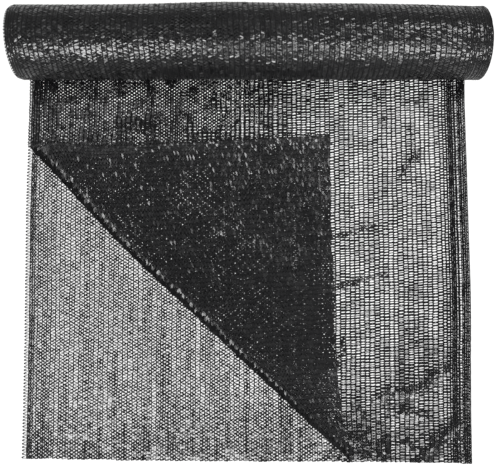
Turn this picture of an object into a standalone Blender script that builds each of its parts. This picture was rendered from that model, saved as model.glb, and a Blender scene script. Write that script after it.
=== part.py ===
"""A length of black knitted shade cloth, folded double and wound into a roll, its loose end laid out flat.

Metres, +Z up. The cloth lies on the plane z = 0 and the roll's axis runs along X at the back. The outer
turn leaves the roll at the floor and runs towards -Y as two layers, which are one cloth folded along its
+X edge. The upper layer's front left corner is turned back over a rolled diagonal fold. The origin is the
middle of the footprint, on the floor.
"""

import math

import bmesh
import bpy
import numpy as np
from mathutils import Vector

# The cloth
CLOTH_THICKNESS = 0.0010
LAYER_SPACING = 0.0020
CUT_WIDTH = 1.2
SOLID_GAP = 0.0003

# The roll
ROLL_RADIUS = 0.0509
ROLL_AXIS_Y = 0.2511
ROLL_FLAT_DEPTH = 0.0003
ROLL_SIDES = 64
ROLL_STATIONS = 13
ROLL_BODY_SHARE = 0.97

# The loose end
LEFT_EDGE_X = -0.2985
FRONT_EDGE_Y = -0.3003
SIDE_FOLD_RADIUS = 0.0040
SIDE_FOLD_SETTLE = 0.020
PRESSED_FROM_Y = 0.235
PRESSED_OVER = 0.060

# The diagonal fold of the upper layer, whose crest runs from the left edge to the front edge
CREST_START = Vector((-0.2970, 0.1235))
CREST_END = Vector((0.1350, -0.3025))
CREST_RADIUS = 0.0045
CREST_SETTLE = 0.018
FLAP_SLIP = 0.053

# How the roll's thickness varies: place along X, spread, growth as a share of the radius
ROLL_SWELLS = (
    {"x": -0.028, "spread": 0.095, "growth": 0.026},
    {"x": 0.130, "spread": 0.070, "growth": 0.010},
    {"x": 0.300, "spread": 0.045, "growth": -0.016},
)

# The roll's two ends: middle of the end, how much further out it is at the back and at the top
ROLL_ENDS = (
    {"x": -0.3065, "back": -0.0030, "top": -0.0030},
    {"x": 0.3085, "back": -0.0005, "top": 0.0045},
)

# One end of the roll, from its middle to its rim: share of the radius, distance in from the end
END_PROFILE = (
    {"share": 0.09, "inward": 0.0045},
    {"share": 0.50, "inward": 0.0020},
    {"share": 0.88, "inward": 0.0003},
    {"share": 0.95, "inward": 0.0},
    {"share": 0.985, "inward": 0.0010},
    {"share": 1.00, "inward": 0.0030},
)

# Where the cloth is drawn aside in its own plane: place, spread, push
EDGE_DRIFTS = (
    {"x": -0.300, "y": 0.040, "spread": 0.100, "push_x": -0.0017, "push_y": 0.0},
    {"x": -0.300, "y": -0.300, "spread": 0.150, "push_x": 0.0, "push_y": 0.0034},
    {"x": 0.300, "y": 0.200, "spread": 0.090, "push_x": -0.0014, "push_y": 0.0},
    {"x": 0.300, "y": -0.080, "spread": 0.080, "push_x": 0.0014, "push_y": 0.0},
    {"x": 0.300, "y": -0.300, "spread": 0.150, "push_x": -0.0020, "push_y": -0.0022},
)

# The same, for the upper layer alone and for the turned corner alone
UPPER_DRIFTS = (
    {"x": -0.158, "y": -0.024, "spread": 0.142, "push_x": -0.0061, "push_y": -0.0061},
    {"x": -0.020, "y": -0.160, "spread": 0.080, "push_x": -0.0020, "push_y": -0.0020},
    {"x": 0.130, "y": -0.300, "spread": 0.050, "push_x": 0.0028, "push_y": 0.0028},
)
FLAP_DRIFTS = (
    {"x": -0.270, "y": 0.125, "spread": 0.050, "push_x": 0.0, "push_y": 0.0085},
    {"x": 0.112, "y": -0.160, "spread": 0.070, "push_x": -0.0070, "push_y": 0.0},
    {"x": 0.112, "y": 0.000, "spread": 0.090, "push_x": -0.0040, "push_y": 0.0},
)
FLAP_DRIFT_FROM = 0.020

# Soft creases of the upper layer: ends of the ridge, its height and its spread to each side
CREASES = (
    {"x0": 0.109, "y0": -0.004, "x1": 0.174, "y1": 0.015, "height": 0.0026, "spread": 0.010},
    {"x0": 0.120, "y0": -0.073, "x1": 0.185, "y1": -0.050, "height": 0.0028, "spread": 0.010},
    {"x0": 0.223, "y0": 0.125, "x1": 0.229, "y1": 0.085, "height": 0.0022, "spread": 0.012},
    {"x0": 0.180, "y0": -0.227, "x1": 0.256, "y1": -0.185, "height": 0.0030, "spread": 0.012},
    {"x0": 0.232, "y0": -0.290, "x1": 0.276, "y1": -0.243, "height": 0.0026, "spread": 0.012},
    {"x0": -0.020, "y0": -0.010, "x1": 0.070, "y1": -0.050, "height": 0.0016, "spread": 0.020},
    {"x0": -0.180, "y0": 0.160, "x1": 0.020, "y1": 0.175, "height": 0.0014, "spread": 0.018},
)

# Lines that the flat cloth is divided along
BEND_COLUMNS = (-0.0064, -0.0048, -0.0032, -0.0016, -0.0008, 0.0, 0.0008, 0.0016, 0.0032, 0.0048, 0.0064)
SETTLE_COLUMNS = (0.0125, 0.0200)
OPEN_CELL = 0.0125
FLAP_CELL = 0.026
FLAP_REACH_X = 0.105
ROW_CELL = 0.0185
CREST_STEPS = 6
SETTLE_LINES = (0.007, 0.014, 0.024, 0.040)
MERGE_WITHIN = 0.0008
TOUCHING = 1e-6
SHARP_ANGLE = math.radians(50)

QUARTER_TURN = math.pi / 2
BENT_EXCESS = QUARTER_TURN - 1
LAYERS_TOP = LAYER_SPACING + CLOTH_THICKNESS
ROLL_STEP = LAYERS_TOP + SOLID_GAP + ROLL_FLAT_DEPTH
BACK_EDGE_Y = ROLL_AXIS_Y - SOLID_GAP
UPPER_MIRROR_X = LEFT_EDGE_X + CUT_WIDTH / 2
SIDE_CREST_X = UPPER_MIRROR_X - BENT_EXCESS * SIDE_FOLD_RADIUS
CREST_WAY = (CREST_END - CREST_START).normalized()
CREST_OUT = Vector((CREST_WAY.y, -CREST_WAY.x))

BLACK_TAPE = (0.018, 0.018, 0.020, 1.0)
TAPE_ROUGHNESS = 0.38


def clear_scene():
    """Removes what the scene holds at the start."""
    for thing in list(bpy.data.objects):
        bpy.data.objects.remove(thing, do_unlink=True)


def tape_material(name):
    """Black polyethylene tape and yarn."""
    material = bpy.data.materials.new(name)
    material.use_nodes = True
    shader = material.node_tree.nodes["Principled BSDF"]
    shader.inputs["Base Color"].default_value = BLACK_TAPE
    shader.inputs["Roughness"].default_value = TAPE_ROUGHNESS
    shader.inputs["Metallic"].default_value = 0.0
    return material


def add_object(name, bm, collection):
    """Turns a closed bmesh into a smooth-shaded object with its own material."""
    bmesh.ops.recalc_face_normals(bm, faces=bm.faces)
    mesh = bpy.data.meshes.new(name)
    bm.to_mesh(mesh)
    bm.free()
    mesh.shade_smooth()
    mesh.set_sharp_from_angle(angle=SHARP_ANGLE)
    mesh.materials.append(tape_material(name))
    thing = bpy.data.objects.new(name, mesh)
    collection.objects.link(thing)
    return thing


def move_points(bm, carry):
    """Carries every point through a function of its two flat coordinates."""
    flat = np.array([vert.co for vert in bm.verts])
    for vert, place in zip(bm.verts, carry(flat[:, 0], flat[:, 1])):
        vert.co = place


def soft_step(value):
    """0 below 0, 1 above 1, and a smooth rise between."""
    held = np.clip(value, 0.0, 1.0)
    return held * held * (3 - 2 * held)


def swell_at(x):
    """Sum of bell-shaped swells along the roll."""
    return sum(row["growth"] * np.exp(-(((x - row["x"]) / row["spread"]) ** 2)) for row in ROLL_SWELLS)


def roll_profile():
    """Stations from one end's middle, over its rim, along the roll and back in.

    Each holds its place from -1 to 1, its share of the radius and its distance in from the end.
    """
    first = [(-1.0, row["share"], row["inward"]) for row in END_PROFILE]
    places = np.linspace(-ROLL_BODY_SHARE, ROLL_BODY_SHARE, ROLL_STATIONS)
    body = [(place, 1.0, 0.0) for place in places]
    last = [(1.0, row["share"], row["inward"]) for row in reversed(END_PROFILE)]
    return np.array(first + body + last)


def carry_roll(column, row):
    """Winds a flat grid into the roll.

    A column is a place round the section, whose radius falls evenly by one step in a full turn, from the
    floor up the back. The last column repeats the first, which makes the step's face. A row is a station.
    """
    profile = roll_profile()
    station = profile[np.rint(row).astype(int)]
    turn = np.where(column > ROLL_SIDES + 0.5, 0.0, column / ROLL_SIDES)
    angle = math.tau * turn - QUARTER_TURN
    radius = (ROLL_RADIUS - ROLL_STEP * turn) * station[:, 1]
    centre = ROLL_RADIUS - ROLL_FLAT_DEPTH
    left, right = ROLL_ENDS
    end_left = left["x"] + left["back"] * np.cos(angle) + left["top"] * np.sin(angle)
    end_right = right["x"] + right["back"] * np.cos(angle) + right["top"] * np.sin(angle)
    share_right = (station[:, 0] + 1) / 2
    x = end_left * (1 - share_right) + end_right * share_right
    x = x - np.sign(station[:, 0]) * station[:, 2]
    swell = swell_at(x)
    z = np.maximum(centre + radius * np.sin(angle), 0.0) * (1 + swell)
    y = ROLL_AXIS_Y + radius * np.cos(angle) * (1 + swell) + swell * z
    return np.column_stack((x, y, z))


def make_roll(collection):
    """The wound cloth: a spiral section, with a step as high as the two layers that leave it."""
    rows = len(roll_profile()) - 1
    columns = ROLL_SIDES + 1
    bm = bmesh.new()
    bmesh.ops.create_grid(bm, x_segments=columns, y_segments=rows, size=0.5)
    bmesh.ops.scale(bm, vec=(columns, rows, 1), verts=bm.verts)
    bmesh.ops.translate(bm, vec=(columns / 2, rows / 2, 0), verts=bm.verts)
    move_points(bm, carry_roll)
    bmesh.ops.remove_doubles(bm, verts=bm.verts, dist=TOUCHING)
    bmesh.ops.holes_fill(bm, edges=[edge for edge in bm.edges if edge.is_boundary])
    bmesh.ops.triangulate(bm, faces=bm.faces)
    return add_object("roll", bm, collection)


def drift(x, y, rows):
    """Sum of bell-shaped pushes in the plane of the cloth."""
    across = np.zeros_like(x)
    along = np.zeros_like(y)
    for row in rows:
        near = np.exp(-((x - row["x"]) ** 2 + (y - row["y"]) ** 2) / row["spread"] ** 2)
        across += row["push_x"] * near
        along += row["push_y"] * near
    return across, along


def crease_height(x, y):
    """Sum of soft ridges, each a bell across its own line that fades out past its ends."""
    height = np.zeros_like(x)
    for row in CREASES:
        start = np.array((row["x0"], row["y0"]))
        way = np.array((row["x1"], row["y1"])) - start
        share = np.clip(((x - start[0]) * way[0] + (y - start[1]) * way[1]) / (way @ way), 0, 1)
        away = np.hypot(x - start[0] - share * way[0], y - start[1] - share * way[1])
        height += row["height"] * np.exp(-((away / row["spread"]) ** 2))
    return height


def fold_radius(along):
    """Radius of the side fold, which the roll presses flat."""
    pressed = soft_step((along - PRESSED_FROM_Y + PRESSED_OVER) / PRESSED_OVER)
    return SIDE_FOLD_RADIUS + (LAYER_SPACING / 2 - SIDE_FOLD_RADIUS) * pressed


def upper_surface(x, y):
    """Height of the upper layer above the lower one: spacing, the side fold's fullness, creases."""
    radius = fold_radius(y)
    past = np.maximum(SIDE_CREST_X - radius - x, 0.0)
    fullness = (2 * radius - LAYER_SPACING) * np.exp(-((past / SIDE_FOLD_SETTLE) ** 2))
    open_part = soft_step(past / SIDE_FOLD_SETTLE) * soft_step((PRESSED_FROM_Y - y) / PRESSED_OVER)
    return LAYER_SPACING + fullness + crease_height(x, y) * open_part


def fold_double(across, along):
    """Folds the flat cloth along its middle line, which becomes the crest of the side fold.

    Within a quarter turn of the crest on each side the cloth follows a circle, and past it lies flat.
    """
    radius = fold_radius(along)
    bend = np.clip(across / radius, -QUARTER_TURN, QUARTER_TURN)
    past = np.maximum(np.abs(across) - QUARTER_TURN * radius, 0.0)
    crest = UPPER_MIRROR_X - BENT_EXCESS * radius
    x = crest - radius + radius * np.cos(bend) - past
    z = radius + radius * np.sin(bend)
    upper = across > QUARTER_TURN * radius
    z = np.where(upper, upper_surface(x, along), z)
    return x, along, z, upper


def turn_corner(x, y, z, upper):
    """Turns what lies beyond the diagonal crest back over the upper layer, round a circle.

    The corner slips a little along the crest. The last value returned is how much of each point belongs to
    the turned corner.
    """
    beyond = (x - CREST_START.x) * CREST_OUT.x + (y - CREST_START.y) * CREST_OUT.y
    reach = beyond - BENT_EXCESS * CREST_RADIUS
    bent = upper & (reach > -QUARTER_TURN * CREST_RADIUS)
    bend = np.clip(reach / CREST_RADIUS, -QUARTER_TURN, QUARTER_TURN)
    past = np.maximum(reach - QUARTER_TURN * CREST_RADIUS, 0.0)
    offset = CREST_RADIUS * (np.cos(bend) - 1) - past
    slip = -FLAP_SLIP * past
    turned_x = x + (offset - beyond) * CREST_OUT.x + slip * CREST_WAY.x
    turned_y = y + (offset - beyond) * CREST_OUT.y + slip * CREST_WAY.y
    fullness = (2 * CREST_RADIUS - LAYER_SPACING) * np.exp(-((past / CREST_SETTLE) ** 2))
    lift = np.where(past > 0, LAYER_SPACING + fullness, CREST_RADIUS * (1 + np.sin(bend)))
    turned_z = upper_surface(turned_x, turned_y) + lift
    flap = np.where(bent, soft_step(past / FLAP_DRIFT_FROM), 0.0)
    return np.where(bent, turned_x, x), np.where(bent, turned_y, y), np.where(bent, turned_z, z), flap


def carry_cloth(across, along):
    """Carries the flat cloth to where its middle surface lies."""
    x, y, z, upper = fold_double(across, along)
    x, y, z, flap = turn_corner(x, y, z, upper)
    moved_x = x.copy()
    moved_y = y.copy()
    for rows, share in ((EDGE_DRIFTS, 1.0), (UPPER_DRIFTS, upper), (FLAP_DRIFTS, flap)):
        push_x, push_y = drift(x, y, rows)
        moved_x += push_x * share
        moved_y += push_y * share
    return np.column_stack((moved_x, moved_y, z + CLOTH_THICKNESS / 2))


def cut_line(bm, place, normal, least_across=-math.inf):
    """Divides the faces beyond a place across the cloth along a line."""
    faces = [face for face in bm.faces if face.calc_center_median().x > least_across]
    edges = {edge for face in faces for edge in face.edges}
    verts = {vert for face in faces for vert in face.verts}
    divided = list(verts) + list(edges) + faces
    bmesh.ops.bisect_plane(bm, geom=divided, plane_co=place, plane_no=normal, dist=TOUCHING)


def evenly(start, end, cell):
    """Places between start and end, about a cell apart, without the two ends."""
    count = max(1, round(abs(end - start) / cell))
    return np.linspace(start, end, count + 1)[1:-1]


def column_places():
    """Places across the cloth of the lines that run along it: few on the lower layer, which is flat."""
    half = CUT_WIDTH / 2
    flap_from = UPPER_MIRROR_X - FLAP_REACH_X
    places = [-half / 2]
    places += list(BEND_COLUMNS)
    places += list(SETTLE_COLUMNS)
    places += list(evenly(SETTLE_COLUMNS[-1], flap_from, OPEN_CELL))
    places += [flap_from]
    places += list(evenly(flap_from, half, FLAP_CELL))
    return places


def crest_line_reaches():
    """Distances from the diagonal crest, along the flat cloth, of the lines that the fold bends at."""
    quarter = QUARTER_TURN * CREST_RADIUS
    bends = list(np.linspace(-quarter, quarter, CREST_STEPS + 1))
    return bends + [quarter + line for line in SETTLE_LINES]


def flat_cloth():
    """The loose end before it is folded: X runs across the cloth from the side fold, Y along it."""
    half = CUT_WIDTH / 2
    length = BACK_EDGE_Y - FRONT_EDGE_Y
    bm = bmesh.new()
    bmesh.ops.create_grid(bm, x_segments=1, y_segments=1, size=0.5)
    bmesh.ops.scale(bm, vec=(CUT_WIDTH, length, 1), verts=bm.verts)
    bmesh.ops.translate(bm, vec=(0, FRONT_EDGE_Y + length / 2, 0), verts=bm.verts)
    for place in column_places():
        cut_line(bm, (place, 0, 0), (1, 0, 0))
    for place in evenly(FRONT_EDGE_Y, BACK_EDGE_Y, ROW_CELL):
        cut_line(bm, (0, place, 0), (0, 1, 0))
    for reach in crest_line_reaches():
        on_line = CREST_START + CREST_OUT * (reach + BENT_EXCESS * CREST_RADIUS)
        place = (UPPER_MIRROR_X - on_line.x, on_line.y, 0)
        cut_line(bm, place, (-CREST_OUT.x, CREST_OUT.y, 0), SETTLE_COLUMNS[-1])
    inner = [vert for vert in bm.verts if not vert.is_boundary and abs(vert.co.x) < half]
    bmesh.ops.remove_doubles(bm, verts=inner, dist=MERGE_WITHIN)
    bmesh.ops.triangulate(bm, faces=bm.faces)
    return bm


def make_loose_end(collection):
    """The two layers in front of the roll, one cloth folded double, with the turned corner."""
    bm = flat_cloth()
    move_points(bm, carry_cloth)
    thing = add_object("loose_end", bm, collection)
    wall = thing.modifiers.new("Cloth thickness", "SOLIDIFY")
    wall.thickness = CLOTH_THICKNESS
    wall.offset = 0.0
    wall.use_even_offset = True
    return thing


def main():
    """Builds the shade cloth."""
    clear_scene()
    collection = bpy.data.collections.new("shade_cloth")
    bpy.context.scene.collection.children.link(collection)
    make_roll(collection)
    make_loose_end(collection)


main()
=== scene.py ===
"""The looks of a rolled shade cloth: each wale, inlaid tape, fold and selvedge of the knit as real strands.

Metres, +Z up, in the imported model's own frame. The cloth is described flat, by two coordinates. "Across" runs
from the fold in the middle of its width: negative on the lower layer, which is the outermost on the roll, and
positive on the upper one. "Along" runs from the cut end in front towards the roll. A place function lays such
a point where the cloth lies, and "lift" moves it off the cloth, towards the side with the chains.
"""
import math

import bpy
import numpy as np
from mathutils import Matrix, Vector


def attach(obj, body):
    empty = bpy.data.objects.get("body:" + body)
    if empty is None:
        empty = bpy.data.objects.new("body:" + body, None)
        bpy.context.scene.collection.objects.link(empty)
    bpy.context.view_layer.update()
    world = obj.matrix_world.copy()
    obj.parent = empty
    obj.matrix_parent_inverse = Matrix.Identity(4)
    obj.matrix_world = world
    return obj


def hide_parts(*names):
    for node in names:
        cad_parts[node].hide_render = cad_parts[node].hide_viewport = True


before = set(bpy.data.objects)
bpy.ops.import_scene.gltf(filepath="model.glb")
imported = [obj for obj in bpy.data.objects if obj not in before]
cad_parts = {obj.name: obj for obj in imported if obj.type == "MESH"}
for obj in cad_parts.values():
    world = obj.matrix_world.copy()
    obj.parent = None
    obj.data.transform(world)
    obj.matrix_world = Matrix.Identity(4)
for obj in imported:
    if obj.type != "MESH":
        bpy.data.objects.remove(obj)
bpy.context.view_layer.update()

bl_info = {
    "name": "Shade cloth",
    "version": (1, 0, 0),
    "blender": (4, 5, 0),
    "location": "View3D > Sidebar > Shade cloth",
    "description": "Knits a folded and rolled shade cloth strand by strand and sets a plain studio round it",
    "category": "Add Mesh",
}

ROOT_BODY = "root"

# The cloth as the solids have it
CLOTH_THICKNESS = 0.0010
LAYER_SPACING = 0.0020
CUT_WIDTH = 1.2
SOLID_GAP = 0.0003

# The roll as the solids have it
ROLL_RADIUS = 0.0509
ROLL_AXIS_Y = 0.2511
ROLL_FLAT_DEPTH = 0.0003

# The loose end as the solids have it
LEFT_EDGE_X = -0.2985
FRONT_EDGE_Y = -0.3003
SIDE_FOLD_RADIUS = 0.0040
SIDE_FOLD_SETTLE = 0.020
PRESSED_FROM_Y = 0.235
PRESSED_OVER = 0.060
CREST_START = np.array((-0.2970, 0.1235))
CREST_END = np.array((0.1350, -0.3025))
CREST_RADIUS = 0.0025
CREST_SETTLE = 0.0056
FLAP_SLIP = 0.053
FLAP_DRIFT_FROM = 0.020

# How the roll's thickness varies: place along X, spread, growth as a share of the radius
ROLL_SWELLS = (
    {"x": -0.028, "spread": 0.095, "growth": 0.026},
    {"x": 0.130, "spread": 0.070, "growth": 0.010},
    {"x": 0.300, "spread": 0.045, "growth": -0.016},
)

# The roll's two ends: middle of the end, how much further out it is at the back and at the top
ROLL_ENDS = (
    {"x": -0.3065, "back": -0.0030, "top": -0.0030},
    {"x": 0.3085, "back": -0.0005, "top": 0.0045},
)

# One end of the roll, from its middle to its rim: share of the radius, distance in from the end
END_PROFILE = (
    {"share": 0.00, "inward": 0.0050},
    {"share": 0.09, "inward": 0.0045},
    {"share": 0.50, "inward": 0.0020},
    {"share": 0.88, "inward": 0.0003},
    {"share": 0.95, "inward": 0.0},
    {"share": 1.00, "inward": 0.0012},
)

# Where the cloth is drawn aside in its own plane: place, spread, push
EDGE_DRIFTS = (
    {"x": -0.300, "y": 0.040, "spread": 0.100, "push_x": -0.0017, "push_y": 0.0},
    {"x": -0.300, "y": -0.300, "spread": 0.150, "push_x": 0.0, "push_y": 0.0034},
    {"x": 0.300, "y": 0.200, "spread": 0.090, "push_x": -0.0014, "push_y": 0.0},
    {"x": 0.300, "y": -0.080, "spread": 0.080, "push_x": 0.0014, "push_y": 0.0},
    {"x": 0.300, "y": -0.300, "spread": 0.150, "push_x": -0.0020, "push_y": -0.0022},
)
UPPER_DRIFTS = (
    {"x": -0.158, "y": -0.024, "spread": 0.142, "push_x": -0.0061, "push_y": -0.0061},
    {"x": -0.020, "y": -0.160, "spread": 0.080, "push_x": -0.0020, "push_y": -0.0020},
    {"x": 0.130, "y": -0.300, "spread": 0.050, "push_x": 0.0028, "push_y": 0.0028},
)
FLAP_DRIFTS = (
    {"x": -0.270, "y": 0.125, "spread": 0.050, "push_x": 0.0, "push_y": 0.0085},
    {"x": 0.112, "y": -0.160, "spread": 0.070, "push_x": -0.0070, "push_y": 0.0},
    {"x": 0.112, "y": 0.000, "spread": 0.090, "push_x": -0.0040, "push_y": 0.0},
)

# How far a crease that gathers by 1 draws the cloth in, and how much fuller the tapes lie in it
GATHER_PULL = 0.24
GATHER_FULLNESS = 1.25

# Creases of the upper layer: ends of the ridge, its height, its spread to each side and how much it gathers
CREASES = (
    {"start": (0.106, -0.0030), "end": (0.142, 0.0025), "height": 0.0012, "spread": 0.0052, "gather": 0.78},
    {"start": (0.142, 0.0025), "end": (0.176, 0.0145), "height": 0.0010, "spread": 0.0036, "gather": 0.62},
    {"start": (0.122, -0.0720), "end": (0.154, -0.0605), "height": 0.0014, "spread": 0.0060, "gather": 0.76},
    {"start": (0.154, -0.0605), "end": (0.190, -0.0520), "height": 0.0010, "spread": 0.0036, "gather": 0.60},
    {"start": (0.228, 0.1500), "end": (0.231, 0.1100), "height": 0.0010, "spread": 0.0075, "gather": 0.36},
    {"start": (0.231, 0.1100), "end": (0.214, 0.0920), "height": 0.0011, "spread": 0.0070, "gather": 0.46},
    {"start": (0.214, 0.0920), "end": (0.210, 0.0800), "height": 0.0009, "spread": 0.0036, "gather": 0.50},
    {"start": (0.131, -0.1410), "end": (0.120, -0.1800), "height": 0.0012, "spread": 0.0050, "gather": 0.66},
    {"start": (0.170, -0.2200), "end": (0.192, -0.2110), "height": 0.0012, "spread": 0.0052, "gather": 0.70},
    {"start": (0.192, -0.2110), "end": (0.224, -0.2070), "height": 0.0014, "spread": 0.0056, "gather": 0.72},
    {"start": (0.224, -0.2070), "end": (0.262, -0.1800), "height": 0.0024, "spread": 0.0095, "gather": 0.72},
    {"start": (0.181, -0.2120), "end": (0.197, -0.2400), "height": 0.0012, "spread": 0.0060, "gather": 0.55},
    {"start": (0.204, -0.2340), "end": (0.240, -0.2420), "height": 0.0012, "spread": 0.0052, "gather": 0.70},
    {"start": (0.232, -0.3020), "end": (0.252, -0.2750), "height": 0.0018, "spread": 0.0085, "gather": 0.72},
    {"start": (0.252, -0.2750), "end": (0.282, -0.2470), "height": 0.0018, "spread": 0.0085, "gather": 0.70},
    {"start": (0.144, -0.2260), "end": (0.159, -0.2460), "height": 0.0010, "spread": 0.0056, "gather": 0.50},
    {"start": (0.205, -0.2760), "end": (0.227, -0.2830), "height": 0.0008, "spread": 0.0045, "gather": 0.50},
    {"start": (-0.020, -0.010), "end": (0.070, -0.050), "height": 0.0016, "spread": 0.020, "gather": 0.05},
    {"start": (-0.180, 0.160), "end": (0.020, 0.175), "height": 0.0014, "spread": 0.018, "gather": 0.05},
)

# Soft creases of the lower layer where it lies bare
LOWER_CREASES = (
    {"start": (-0.232, -0.135), "end": (-0.180, -0.215), "height": 0.0018, "spread": 0.010, "gather": 0.60},
    {"start": (-0.255, -0.060), "end": (-0.235, -0.260), "height": 0.0012, "spread": 0.014, "gather": 0.42},
    {"start": (-0.135, -0.110), "end": (-0.120, -0.280), "height": 0.0013, "spread": 0.014, "gather": 0.42},
    {"start": (-0.020, -0.215), "end": (-0.010, -0.290), "height": 0.0012, "spread": 0.014, "gather": 0.42},
)

# Distances of the wales from the fold: close along the fold, even over the body, close along the selvedge
FOLD_WALES = (0.0010, 0.0035, 0.0060, 0.0085, 0.0120, 0.0167, 0.0204, 0.0229, 0.0254, 0.0282, 0.0330)
BODY_WALES_FROM = 0.0382
BODY_WALES_TO = 0.5595
BODY_WALE_COUNT = 81
SELVEDGE_WALES = (0.5655, 0.5712, 0.5770, 0.5826, 0.5874, 0.5907, 0.5940)
UPPER_LAST_WALE = 0.5966
MOST_WALES = 100

# How full the tapes lie, as a share of their width: by the fold, from where it rises and where it is whole
FOLD_FULLNESS = 0.71
FULL_FROM = 0.185
FULL_BY = 0.330

# How much thinner they lie on the fold itself, and how far in from it
FOLD_THINNING = 0.26
FOLD_THIN_TO = 0.026

# Rungs that the tapes of both layers are drawn onto by the fold: how closely, to where it holds, where it is
# gone beside and beyond the turned corner, their pitch, how they slant, stray and step from column to column
RUNG_HOLD = 0.56
RUNGS_TO = 0.186
RUNGS_GONE_BESIDE = 0.215
RUNGS_GONE_BEYOND = 0.330
BEYOND_CORNER_Y = 0.128
RUNG_PITCH = 0.00363
RUNG_SLANT = 0.23
RUNG_STRAY = 0.0016
RUNG_SHIFT = 0.0010
RUNGS_LOOSER = 0.20
RUNGS_LOOSER_FROM = -0.080
RUNGS_LOOSER_OVER = 0.100

# How much fuller the tapes are at the cut end, by the roll, on rungs by the roll, and on the turned corner
FRONT_FULLNESS = 0.48
FRONT_SPREAD = 0.050
ROLL_FULLNESS = 0.10
RUNG_FULLNESS = 0.32
ROLL_FULL_FROM = 0.125
ROLL_FULL_BY = 0.205
FLAP_FULLNESS = 0.45

# How much fuller they are on the corner's bend, and in what lies under the corner, to where it reaches
BEND_FULLNESS = 1.00
BEND_MIDDLE = 0.0035
BEND_SPREAD = 0.0060
COVERED_FULLNESS = 0.42
COVERED_TO_X = 0.106

# Where the tapes are worked dull on the bend, past the diagonal crest, and how much more they lean beyond it
DULL_FROM = -0.0030
DULL_TO = 0.0092
CORNER_LEAN = 0.75

# Soft patches where both layers are drawn close: place, spread, how much fuller
CLOSE_PATCHES = (
    {"x": 0.199, "y": 0.064, "spread": 0.020, "more": 0.42},
    {"x": 0.162, "y": 0.134, "spread": 0.020, "more": 0.30},
    {"x": 0.249, "y": 0.012, "spread": 0.014, "more": 0.34},
    {"x": 0.165, "y": -0.014, "spread": 0.016, "more": 0.28},
    {"x": 0.192, "y": 0.020, "spread": 0.018, "more": 0.22},
    {"x": 0.242, "y": -0.072, "spread": 0.022, "more": 0.46},
    {"x": 0.224, "y": -0.141, "spread": 0.018, "more": 0.40},
    {"x": 0.229, "y": -0.168, "spread": 0.018, "more": 0.40},
    {"x": 0.262, "y": -0.170, "spread": 0.060, "more": 0.23},
    {"x": 0.225, "y": -0.275, "spread": 0.060, "more": 0.25},
    {"x": 0.150, "y": -0.235, "spread": 0.040, "more": 0.20},
    {"x": 0.212, "y": -0.215, "spread": 0.030, "more": 0.25},
    {"x": 0.100, "y": 0.000, "spread": 0.016, "more": 0.20},
    {"x": 0.066, "y": -0.255, "spread": 0.045, "more": 0.45},
    {"x": -0.250, "y": 0.155, "spread": 0.070, "more": 0.40},
    {"x": -0.120, "y": 0.150, "spread": 0.060, "more": 0.16},
    {"x": -0.010, "y": 0.172, "spread": 0.052, "more": -0.28},
    {"x": 0.129, "y": -0.299, "spread": 0.018, "more": 0.90},
    {"x": -0.071, "y": 0.069, "spread": 0.030, "more": -0.30},
)

# How far single wales stand off their even place, as a share of the waviness, and how much the fullness of
# columns of tapes differs
WALE_STRAY = 0.9
COLUMN_STRAY = 0.10

# How the upper layer's wales slip by half a wale against the lower's, by distance from the fold
SLIP_STARTS = 0.190
SLIP_FULL = 0.420
SLIP_ENDS = 0.575
SLIP_ALONG = 0.0011
SLIP_STRAY = 0.0010

# By what share the upper layer is drawn in, towards X 0 and this Y
UPPER_DRAW_IN = 0.0018
UPPER_DRAW_Y = -0.093

# The softboxes: place, size along X and Y, and share of the softbox power
SOFTBOXES = (
    {"name": "front_left", "x": -0.88, "y": -2.40, "z": 3.0, "width": 0.76, "depth": 2.10, "share": 1.15},
    {"name": "front_right", "x": 0.98, "y": -2.40, "z": 3.0, "width": 0.62, "depth": 2.10, "share": 0.92},
    {"name": "back_left", "x": -0.80, "y": 1.20, "z": 3.0, "width": 0.90, "depth": 0.60, "share": 0.05},
    {"name": "back_right", "x": 1.15, "y": 1.45, "z": 3.0, "width": 0.90, "depth": 0.80, "share": 0.38},
)

# The floor, the span of the look upward over which the sky fades, the sensor, and the middle of the view
FLOOR_COLOUR = (0.12, 0.12, 0.119, 1.0)
FLOOR_ROUGHNESS = 0.9
WHITE = (1.0, 1.0, 1.0, 1.0)
SKY_SPAN = (0.90, 0.997)
SENSOR_WIDTH = 36.0
VIEW_MIDDLE = (0.002, 0.0015)

# Ripples: how many sines each sums, what takes the sum to about 1, and how much the sines' lengths differ
RIPPLE_SINES = 6
RIPPLE_SCALE = 3.2
RIPPLE_STRETCH = (0.6, 1.7)

# Ripples of the loose end, by seed and length: of the sheet, of the turned corner, of how closely the rungs
# hold, of where they lie, and of the tapes' fullness by the fold
SHEET_RIPPLE = (3, 0.085)
CORNER_RIPPLE = (5, 0.060)
HOLD_RIPPLE = (15, 0.036)
RUNG_RIPPLE = (17, 0.060)
FOLD_RIPPLE = (19, 0.034)

# How high these ripples lift the sheet, how much more where it lies bare, and how high the turned corner; how
# uneven they make the rungs' hold and the fullness by the fold
SHEET_RISE = 0.0005
BARE_RISE = 0.0009
CORNER_RISE = 0.0006
HOLD_UNEVEN = 0.45
FOLD_UNEVEN = 0.10

# Soft borders: where the sheet settles beside the side fold, where the lower layer is bare beyond the
# diagonal crest, of the turned corner, of what it covers and of the rungs that reach beyond it
SETTLED_OVER = 0.030
BARE_FROM = 0.010
BARE_OVER = 0.030
TURNED_OVER = 0.010
COVERED_OVER = 0.006
RUNGS_BEYOND_OVER = 0.020

# Phase that the rungs' shift gains from one column of holes to the next
RUNG_SHIFT_PHASE = 2.4

# The winding: its lowest point, the most turns and how many steps each is read in, and the least radius
ROLL_LOWEST = 0.0002
MOST_TURNS = 40
STEPS_A_TURN = 100
LEAST_RADIUS = 0.001

# The turns over which the creep sets in, its seed, and its waves at the left and the right end, in turns
CREEP_TURNS = (0.9, 1.6)
CREEP_SEED = 23
CREEP_WAVES = (2.3, 1.9)

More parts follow.
